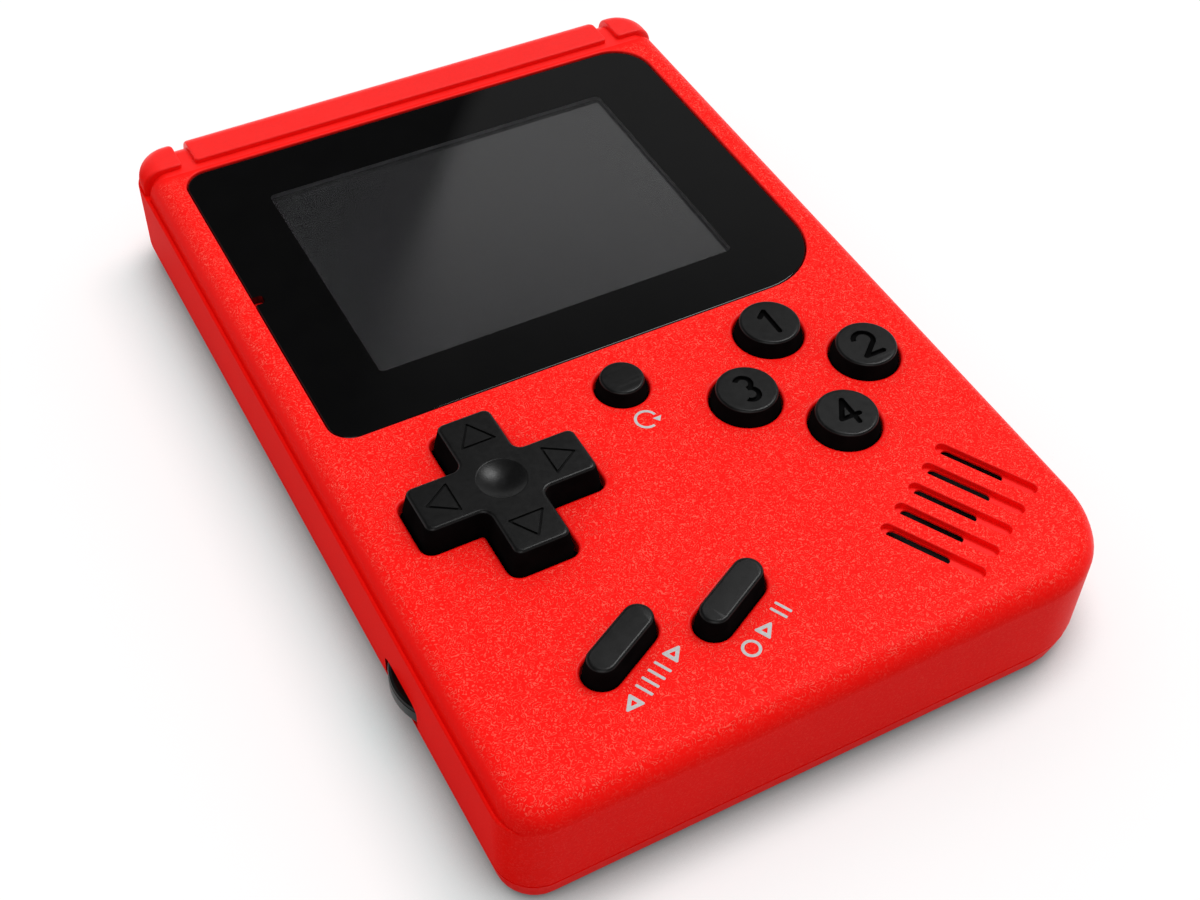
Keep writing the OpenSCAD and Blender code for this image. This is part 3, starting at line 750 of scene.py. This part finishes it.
def knob_cutters():
    """The recess that the power knob slides in, and the slot for its stem."""
    low, high = box_mm("power_knob")
    at = ((low.y + high.y + KNOB_TRAVEL) / 2, (low.z + high.z) / 2)
    recess = centred_rect(at, KNOB_SLOT_L, KNOB_SLOT_H, KNOB_SLOT_R)
    slot = centred_rect(at, STEM_SLOT_L, STEM_SLOT_H, STEM_SLOT_R)
    past = half_w + CUT_PAST
    return prism_along_x(recess, half_w - KNOB_SEAT, past), prism_along_x(slot, half_w - CUT_PAST, past)


def socket_cutters():
    """Holes in the top side for the audio jack and the charging socket."""
    jack, usb = middle("av_jack"), middle("usb_socket")
    hole = circle((jack.x, middle_of_bore()), JACK_HOLE_R, 48)
    mouth = centred_rect((usb.x, usb.z), USB_HOLE_W, USB_HOLE_H, USB_HOLE_R)
    return [prism_along_y(outline, half_l - CUT_PAST, half_l + CUT_PAST) for outline in (hole, mouth)]


def middle_of_bore():
    """Height of the audio socket's bore, from the record's mount."""
    mount = next(m for m in frame["record"]["mounts"] if m["name"] == "av_socket")
    return mount["pos_m"][2] / MM


def front_shell():
    skin = Skin()
    foot, face_loop = case_wall(skin)
    inner_low = skin.ring(case_outline(WALL), seam_z)
    inner_high = skin.ring(case_outline(WALL), face_in)
    skin.loft(foot, inner_low, inner_high)
    outer_loops, inner_loops = [face_loop], [inner_high]
    for hole in face_holes():
        top, low = skin.lip(hole, face_z, HOLE_LIP)
        back = skin.ring(hole(0), face_in)
        skin.loft(low, back)
        outer_loops.append(top)
        inner_loops.append(back)
    shifts = [SLOT_PITCH * (k - (SLOT_COUNT - 1) / 2) for k in range(SLOT_COUNT)]
    for top, back in [lens_seat(skin)] + [speaker_slot(skin, shift) for shift in shifts]:
        outer_loops.append(top)
        inner_loops.append(back)
    skin.fill(*outer_loops)
    skin.fill(*inner_loops)
    shell = skin.object("front_shell_skin")
    for finish in (face_red, satin_red):
        shell.data.materials.append(finish)
    cut(shell, strip_cutter(), wheel_pocket(), *knob_cutters(), *socket_cutters())
    dress(shell, "case", "shell", replaces=["front_shell"])


def roll_in(z, top, radius):
    """How far a rounded edge has come in at a height."""
    above = max(0.0, z - (top - radius))
    return radius - math.sqrt(max(0.0, radius * radius - above * above))


def strip_block(skin, x0, x1, y0, top, step, outer_sides, edge):
    """A block of the top strip: tight edges inside, the case's rounding on its outer sides."""
    heights = {z for _, z in arc_profile(0, top, EDGE_R, 12)} | {z for _, z in arc_profile(0, top, edge, 4)}
    levels = []
    for z in [band_z - BLOCK_SINK] + sorted(heights):
        tight, wide = roll_in(z, top, edge), roll_in(z, top, EDGE_R)
        left = wide if -1 in outer_sides else tight
        right = wide if 1 in outer_sides else tight
        radii = [BLOCK_CORNER, BLOCK_CORNER]
        for side in (1, -1):
            radii.append(CORNER_R - step - wide if side in outer_sides else BLOCK_CORNER)
        levels.append((round_rect(x0 + left, x1 - right, y0 + tight, half_l - step - wide, radii, 12), z))
    skin.solid(levels)


def top_strip():
    skin = Skin()
    base_side = half_w - BAND_STEP - BASE_INSET
    base_top, base_step = face_z - STRIP_DROP, BAND_STEP + BASE_INSET
    strip_block(skin, -base_side, base_side, STRIP_Y - BASE_LAP, base_top, base_step, (-1, 1), BASE_EDGE)
    side = half_w - BLOCK_STEP
    strip_block(skin, -BAR_HALF, BAR_HALF, BLOCK_Y, shell_high.z, BLOCK_STEP, (), BLOCK_EDGE)
    strip_block(skin, CAP_INNER, side, BLOCK_Y, shell_high.z, BLOCK_STEP, (1,), BLOCK_EDGE)
    strip_block(skin, -side, -CAP_INNER, BLOCK_Y, shell_high.z, BLOCK_STEP, (-1,), BLOCK_EDGE)
    dress(skin.object("top_strip_blocks"), "case", "shell", strip_red)


# Screen


def window_outline(grow):
    return centred_rect(WINDOW_AT, WINDOW_W + 2 * grow, WINDOW_L + 2 * grow, APERTURE_R + grow)


def lens_border():
    """The black border, with a small notch in its left edge and a grey edge round its window."""
    skin = Skin()
    back_z = lens_low.z + LENS_SEAT_GAP
    low = skin.ring(lens_outline(0), back_z)
    rings = [skin.ring(lens_outline(inset), z) for inset, z in arc_profile(0, lens_high.z, LENS_EDGE)]
    skin.loft(low, *rings)
    window_low = skin.ring(window_outline(0), back_z)
    window_high = skin.ring(window_outline(0), lens_high.z)
    skin.loft(window_low, window_high, slot=1)
    skin.fill(low, window_low)
    skin.fill(rings[-1], window_high)
    border = skin.object("screen_lens_border")
    for finish in (border_black, edge_grey):
        border.data.materials.append(finish)
    notch = Skin()
    outline = centred_rect((lens_low.x, lens_mid.y), NOTCH_L, NOTCH_W, 0.6)
    notch.solid([(outline, lens_low.z - 1), (outline, lens_high.z + 1)])
    cut(border, notch.object("cutter"))
    dress(border, "case", "lens", replaces=["screen_lens"])


def lens_window():
    """The clear acrylic in the window, bonded to the border's edge."""
    skin = Skin()
    bonded = window_outline(WINDOW_BOND)
    skin.solid([(bonded, lens_low.z + LENS_SEAT_GAP), (bonded, lens_high.z - WINDOW_DROP)])
    dress(skin.object("screen_lens_window"), "case", "lens", clear)


def screen_gasket():
    """A ring of black foam between the ledge and the panel."""
    skin = Skin()
    outer = centred_rect(ledge_at, LEDGE_W - 0.1, LEDGE_L - 0.1, 1.0)
    inner = centred_rect(ledge_at, LEDGE_W - GASKET_W, LEDGE_L - GASKET_W, 0.6)
    low, high = panel_top + 0.02, lens_low.z - GASKET_GAP
    rings = [
        skin.ring(outer, low), skin.ring(outer, high), skin.ring(inner, high), skin.ring(inner, low)]
    skin.loft(*rings, rings[0])
    dress(skin.object("screen_gasket_foam"), "case", "rubber", foam_black)


def screen_sheet(finish):
    """The screen's glass and, on it, the polariser that shows through the window."""
    def outline(inset):
        w, l = LEDGE_W - GASKET_W - 0.2, LEDGE_L - GASKET_W - 0.2
        return centred_rect(ledge_at, w - 2 * inset, l - 2 * inset, 0.5)

    top = lens_low.z - SHEET_GAP
    shelf = top - SHEET_STEP
    skin = Skin()
    skin.solid([
        (outline(0), panel_top + 0.02), (outline(0), shelf - SHEET_EDGE), (outline(SHEET_EDGE), shelf),
        (outline(SHEET_STEP), shelf), (outline(SHEET_STEP), top - SHEET_EDGE),
        (outline(SHEET_STEP + SHEET_EDGE), top)])
    dress(skin.object("lcd_front_sheet"), "case", "panel", finish)


# Controls


def pad_outline(inset):
    span, arm = PAD_SPAN - 2 * inset, PAD_ARM - 2 * inset
    return cross(pad_at, span, arm, PAD_CORNER - 0.6 * inset, PAD_INNER + inset)


def pad_dish(skin, top, steps=12):
    """A round bowl in the pad's middle; returns its loop in the pad's top."""
    rings = [skin.ring(circle(pad_at, DISH_R + DISH_LIP), top)]
    bowl = (DISH_R ** 2 + DISH_DEPTH ** 2) / (2 * DISH_DEPTH)
    for k in range(steps):
        r = DISH_R * math.cos(math.radians(90 * k / steps))
        rings.append(skin.ring(circle(pad_at, r), top + bowl - DISH_DEPTH - math.sqrt(bowl ** 2 - r ** 2)))
    skin.loft(*rings, slot=1)
    skin.fill(rings[-1], slot=1)
    return rings[0]


def pad_mark(skin, top, degrees):
    """An engraved triangle on one arm; returns its loop in the pad's top."""
    corners = [(0, MARK_APEX), (-MARK_HALF, MARK_BASE), (MARK_HALF, MARK_BASE)]
    centre = Vector((0, (MARK_APEX + 2 * MARK_BASE) / 3))
    smaller = [centre + (Vector(c) - centre) * (1 - 2.2 * MARK_LINE / MARK_HALF) for c in corners]
    outer = turned(rounded_polygon(corners, [TIP_R] * 3, 3), pad_at, degrees)
    inner = turned(rounded_polygon(smaller, [INNER_TIP_R] * 3, 3), pad_at, degrees)
    rim, floor = skin.ring(outer, top), skin.ring(outer, top - MARK_DEPTH)
    inside, island = skin.ring(inner, top - MARK_DEPTH), skin.ring(inner, top)
    skin.loft(rim, floor, inside, island)
    skin.fill(island)
    return rim


def pad():
    """Direction pad with a dish in its middle and a triangle on each arm."""
    skin = Skin()
    top = pad_high.z
    rings = [skin.ring(pad_outline(0), pad_low.z), skin.ring(pad_outline(0), face_z)]
    for inset, z in arc_profile(-PAD_TAPER, top, PAD_EDGE):
        rings.append(skin.ring(pad_outline(-inset), z))
    skin.loft(*rings)
    skin.fill(rings[0])
    loops = [rings[-1], pad_dish(skin, top)]
    loops += [pad_mark(skin, top, degrees) for degrees in (0, 90, 180, 270)]
    skin.fill(*loops)
    disc = circle(pad_at, PAD_DISC_R)
    skin.solid([(disc, pad_low.z), (disc, pad_low.z + PAD_DISC_T)])
    dress(skin.object("pad_cap"), "pad", "keys", pad_black, dish_black, replaces=["pad"])


def line_stroke(start, end):
    """Outline of a straight stroke with round ends."""
    start, end = Vector(start), Vector(end)
    along = end - start
    degrees = math.degrees(math.atan2(along.y, along.x))
    return pill((start + end) / 2, along.length + STROKE, STROKE, degrees, 8)


def arc_stroke(at, r, first, sweep, count=24):
    """Outline of a stroke along an arc."""
    turns = [math.radians(first + sweep * k / count) for k in range(count + 1)]
    outer = [Vector(at) + Vector((math.cos(a), math.sin(a))) * (r + STROKE / 2) for a in turns]
    inner = [Vector(at) + Vector((math.cos(a), math.sin(a))) * (r - STROKE / 2) for a in reversed(turns)]
    return outer + inner


def numeral_strokes(digit):
    """Strokes of the digits 1 to 4, about a middle at zero."""
    h, w, bowl = NUMERAL_H / 2, NUMERAL_W / 2, NUMERAL_H / 4
    return {
        "1": [line_stroke((0.2 * w, -h), (0.2 * w, h)), line_stroke((0.2 * w, h), (-0.6 * w, 0.6 * h))],
        "2": [
            arc_stroke((0, h - w), w, -35, 205), line_stroke((0.82 * w, h - 1.57 * w), (-w, -h)),
            line_stroke((-w, -h), (w, -h))],
        "3": [arc_stroke((0, bowl), bowl, -90, 235), arc_stroke((0, -bowl), bowl, -145, 235)],
        "4": [
            line_stroke((0.4 * w, -h), (0.4 * w, h)), line_stroke((0.4 * w, h), (-w, -0.4 * h)),
            line_stroke((-w, -0.4 * h), (w, -0.4 * h))],
    }[digit]


def numeral_cutters(digit, at, top):
    cutters = []
    for stroke in numeral_strokes(digit):
        skin = Skin()
        placed = turned(stroke, at, 0)
        skin.solid([(placed, top - NUMERAL_DEPTH), (placed, top + NUMERAL_DEPTH)])
        cutters.append(skin.object("cutter"))
    return cutters


def round_button(node, d, numeral=None):
    low, high = box_mm(node)
    at = (low + high) / 2
    r = d / 2
    profile = [
        (r - 1, low.z), (r - 1, face_in - FLANGE_T), (r + FLANGE_W, face_in - FLANGE_T),
        (r + FLANGE_W, face_in), (r, face_in), (r, face_z)]
    profile += arc_profile(r - BUTTON_TAPER, high.z, BUTTON_EDGE)
    made = lathe(at, profile, 96).object(node + "_cap")
    if numeral:
        cut(made, *numeral_cutters(numeral, at, high.z))
    finish = key_finish(node + "_black", KEY_ROUGHNESS, KEY_GLOSS, high.z)
    dress(made, node, "keys", finish, replaces=[node])


def pill_button(node):
    low, high = box_mm(node)
    at = (low + high) / 2

    def outline(grow):
        return pill(at, PILL_L + 2 * grow, PILL_W + 2 * grow, PILL_SLANT)

    levels = [
        (outline(-1), low.z), (outline(-1), face_in - FLANGE_T), (outline(FLANGE_W), face_in - FLANGE_T),
        (outline(FLANGE_W), face_in), (outline(0), face_in), (outline(0), face_z)]
    levels += [(outline(grow), z) for grow, z in arc_profile(-PILL_TAPER, high.z, PILL_EDGE)]
    skin = Skin()
    skin.solid(levels)
    finish = key_finish(node + "_black", KEY_ROUGHNESS, KEY_GLOSS, high.z)
    dress(skin.object(node + "_cap"), node, "keys", finish, replaces=[node])


def volume_wheel():
    """Thumb wheel with a rounded rim and a groove round it."""
    at = middle("volume_wheel")
    r = (wheel_high.x - wheel_low.x) / 2
    low, high = seam_z + WHEEL_GAP, wheel_high.z
    skin = Skin()
    groove_r = r - WHEEL_GROOVE
    profile = [
        (WHEEL_HOLE_R, low), (r - 0.5, low), (r - 0.15, low + 0.15), (r, low + 0.5), (r, high - 0.75),
        (groove_r, high - 0.7), (groove_r, high - 0.6), (r, high - 0.55), (r - 0.1, high - 0.2),
        (r - 0.4, high), (WHEEL_HOLE_R, high)]
    rings = [skin.ring(circle(at, radius, 120), z) for radius, z in profile]
    skin.loft(*rings, rings[0])
    dress(skin.object("volume_wheel_rim"), "volume_wheel", "keys", wheel_black, replaces=["volume_wheel"])


# Printed marks, in place of words


def print_marks(name, at, degrees, shapes):
    """Ink on the face; each shape is an outline, or an outline with a hole."""
    skin = Skin()
    low, high = face_z - INK_SINK, face_z + INK_RISE
    for loops in shapes:
        tops, bottoms = [], []
        for loop in loops:
            placed = turned(loop, at, degrees)
            bottoms.append(skin.ring(placed, low))
            tops.append(skin.ring(placed, high))
            skin.loft(bottoms[-1], tops[-1])
        skin.fill(*tops)
        skin.fill(*bottoms)
    dress(skin.object(name), "case", None, print_grey)


def ring_shape(at, r, line):
    return [circle(at, r, 48), circle(at, r - line, 48)]


def triangle_shape(at, half, way, line):
    """An outlined triangle that points along X."""
    tip, back = at[0] + way * half, at[0] - way * half
    corners = [(tip, at[1]), (back, at[1] + half), (back, at[1] - half)]
    centre = Vector((at[0] - way * half / 3, at[1]))
    smaller = [centre + (Vector(c) - centre) * (1 - 2 * line / half) for c in corners]
    return [rounded_polygon(corners, [TIP_R] * 3, 3), rounded_polygon(smaller, [INNER_TIP_R] * 3, 3)]


def bar_shape(at, w, l):
    return [centred_rect(at, w, l, 0.12, 3)]


def arc_shape(r, line, start, sweep, count=32):
    turns = [math.radians(start + sweep * k / count) for k in range(count + 1)]
    outer = [Vector((r * math.cos(a), r * math.sin(a))) for a in turns]
    inner = [Vector(((r - line) * math.cos(a), (r - line) * math.sin(a))) for a in reversed(turns)]
    return [outer + inner]


INK_LINE, INK_SINK, INK_RISE = 0.36, 0.02, 0.015
INK_H = 2.2
SELECT_MARK, START_MARK, RESET_MARK = (-18.3, -49.9), (-4.2, -49.9), (-0.6, -16.9)


def printed_marks():
    """Arrows and bars by select, a ring, arrow and two bars by start, and a turning arrow by reset."""
    half = INK_H / 2
    select = [triangle_shape((4.2 * way, 0), half, way, INK_LINE) for way in (-1, 1)]
    select += [bar_shape((x, 0), INK_LINE, INK_H) for x in (-1.8, -0.6, 0.6, 1.8)]
    print_marks("print_select", SELECT_MARK, PILL_SLANT, select)
    start = [ring_shape((-3.2, 0), 1.15, INK_LINE), triangle_shape((0.1, 0), half, 1, INK_LINE)]
    start += [bar_shape((x, 0), INK_LINE, INK_H) for x in (2.6, 3.6)]
    print_marks("print_start", START_MARK, PILL_SLANT, start)
    head = [(0.75, -0.2), (1.95, -0.2), (1.35, -1.0)]
    reset = [arc_shape(1.5, INK_LINE, 10, 280), [[Vector(p) for p in head]]]
    print_marks("print_reset", RESET_MARK, 0, reset)


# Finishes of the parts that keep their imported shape


def finish_nodes():
    kept = {
        satin_red: ["rear_shell", "battery_door"],
        wheel_black: ["power_knob"],
        screen_grey: ["lcd_panel"],
        plain_finish("carrier_white", (0.78, 0.78, 0.77), 0.5): ["lcd_carrier"],
        plain_finish("ribbon_amber", (0.55, 0.3, 0.07), 0.35): ["lcd_ribbon"],
        plain_finish("board_green", (0.03, 0.16, 0.07), 0.4, depth=0.02): ["main_board"],
        plain_finish("epoxy_black", (0.02, 0.02, 0.021), 0.5): [
            "main_chip", "memory_chip", "volume_pot", "av_jack"],
        plain_finish("silicone_grey", (0.2, 0.205, 0.21), 0.65): [
            "pad_post", "pad_membrane", "action_membrane", "reset_membrane", "menu_membrane"],
        foam_black: ["speaker_gasket"],
        plain_finish("plated_steel", (0.62, 0.62, 0.6), 0.3, metallic=1.0, depth=0.006): [
            "pad_ball", "speaker_basket", "wheel_screw", "power_switch", "usb_socket", "case_screws",
            "board_screws"],
        plain_finish("paper_cone", (0.005, 0.005, 0.005), 0.9): ["speaker_cone"],
        plain_finish("lead_red", (0.45, 0.03, 0.03), 0.5): ["speaker_leads"],
        plain_finish("cell_wrap", (0.08, 0.2, 0.42), 0.4): ["battery"],
        plain_finish("contact_gold", (0.72, 0.5, 0.16), 0.28, metallic=1.0): ["battery_contacts"],
    }
    for finish, nodes in kept.items():
        for node in nodes:
            data = frame["nodes"][node].data
            data.materials.clear()
            data.materials.append(finish)


# Floor, light and camera


def floor():
    """A white floor, open under the object and from below, so that the back can be looked at too; a contact
    shadow is painted in near the object.
    """
    skin = Skin()
    edge = skin.ring(centred_rect((0, 0), FLOOR_SIZE, FLOOR_SIZE, 1.0), FLOOR_Z)
    opening = skin.ring(case_outline(FLOOR_INSET), FLOOR_Z)
    skin.fill(edge, opening)
    made = skin.object("floor")
    if made.data.polygons[0].normal.z < 0:
        made.data.flip_normals()
    finish = Finish("floor_white", Roughness=0.9, Specular_IOR_Level=0.0)
    seen = finish.seen()
    # Ambient occlusion darkens the floor's colour and its lift near the object: a painted contact shadow
    near = finish.node("ShaderNodeAmbientOcclusion")
    near.inputs["Distance"].default_value = CONTACT_REACH * MM
    painted_contact_shadow = finish.ramp(near.outputs["AO"], 0.25, 0.95, PAINTED_CONTACT_SHADOW, 1.0)
    dark = tuple(PAINTED_CONTACT_SHADOW * c for c in FLOOR_SHADE[:3]) + (1,)
    finish.set("Base Color", finish.mix(seen, FLOOR_WHITE, finish.mix(painted_contact_shadow, dark, FLOOR_SHADE)))
    finish.set("Emission Color", finish.mix(seen, (0, 0, 0, 1), FLOOR_LIFT))
    finish.set("Emission Strength", finish.math("MULTIPLY", seen, painted_contact_shadow))
    underside = finish.node("ShaderNodeNewGeometry").outputs["Backfacing"]
    finish.set("Alpha", finish.math("SUBTRACT", 1.0, underside))
    made.data.materials.append(finish.material)


def sun():
    """A large soft light from the upper right."""
    data = bpy.data.lights.new("key", "SUN")
    data.energy = SUN_STRENGTH
    data.angle = math.radians(SUN_SPREAD)
    made = bpy.data.objects.new("key", data)
    bpy.context.scene.collection.objects.link(made)
    made.rotation_euler = (0, math.radians(90 - SUN_RISE), math.radians(SUN_TURN))


def soft_box(nodes, way, toward, edge, glow):
    """A round patch of light in one direction, with a soft edge."""
    return nodes.ramp(nodes.dot(way, toward), *edge, 0.0, glow)


def world():
    """Even fill; gloss and glass show a white horizon, a dark ceiling, a pale panel and two soft boxes."""
    scene = bpy.context.scene
    scene.world = bpy.data.worlds.new("studio")
    scene.world.use_nodes = True
    nodes = Nodes(scene.world.node_tree)
    way = nodes.node("ShaderNodeTexCoord").outputs["Generated"]
    split = nodes.node("ShaderNodeSeparateXYZ")
    nodes.feed(split.inputs[0], way)
    rise = split.outputs["Z"]
    soft = nodes.ramp(rise, 0.62, 0.74, 0.01, 0.05)
    glow = nodes.ramp(rise, 0.6, 0.76, PANEL_GLOW, 0.25 * PANEL_GLOW)
    panel = nodes.ramp(nodes.dot(way, PANEL_EDGE), nodes.math("MULTIPLY", soft, -1.0), soft, 0.0, glow)
    studio = nodes.math("MAXIMUM", nodes.ramp(rise, 0.15, 0.5, HORIZON_GLOW, CEILING_GLOW), panel)
    front = soft_box(nodes, way, FRONT_WAY, FRONT_EDGE, FRONT_GLOW)
    left = soft_box(nodes, way, LEFT_WAY, LEFT_EDGE, LEFT_GLOW)
    studio = nodes.math("MAXIMUM", studio, nodes.math("MAXIMUM", front, left))
    fill = nodes.ramp(nodes.dot(way, FILL_WAY), -0.8, 0.8, FILL_FRONT, FILL_BACK)
    lit = nodes.mix(nodes.by_gloss(), fill, studio, "VALUE")
    back = scene.world.node_tree.nodes["Background"]
    back.inputs["Color"].default_value = (1, 1, 1, 1)
    nodes.feed(back.inputs["Strength"], nodes.mix(nodes.direct(), lit, 1.0, "VALUE"))


def camera():
    data = bpy.data.cameras.new("camera")
    data.sensor_fit = "HORIZONTAL"
    data.sensor_width = CAMERA_SENSOR
    data.lens = CAMERA_LENS
    data.clip_start = 0.01
    made = bpy.data.objects.new("camera", data)
    bpy.context.scene.collection.objects.link(made)
    made.location = CAMERA_AT * MM
    made.rotation_euler = [math.radians(a) for a in CAMERA_TURN]
    bpy.context.scene.camera = made


front_shell()
top_strip()
lens_border()
lens_window()
screen_gasket()
screen_sheet(screen_grey)
pad()
for button, digit in NUMERALS.items():
    round_button(button, BUTTON_D, digit)
round_button("reset_button", RESET_D)
for button in PILLS:
    pill_button(button)
volume_wheel()
printed_marks()
finish_nodes()
floor()
sun()
world()
camera()
bpy.context.scene.view_settings.view_transform = "Standard"
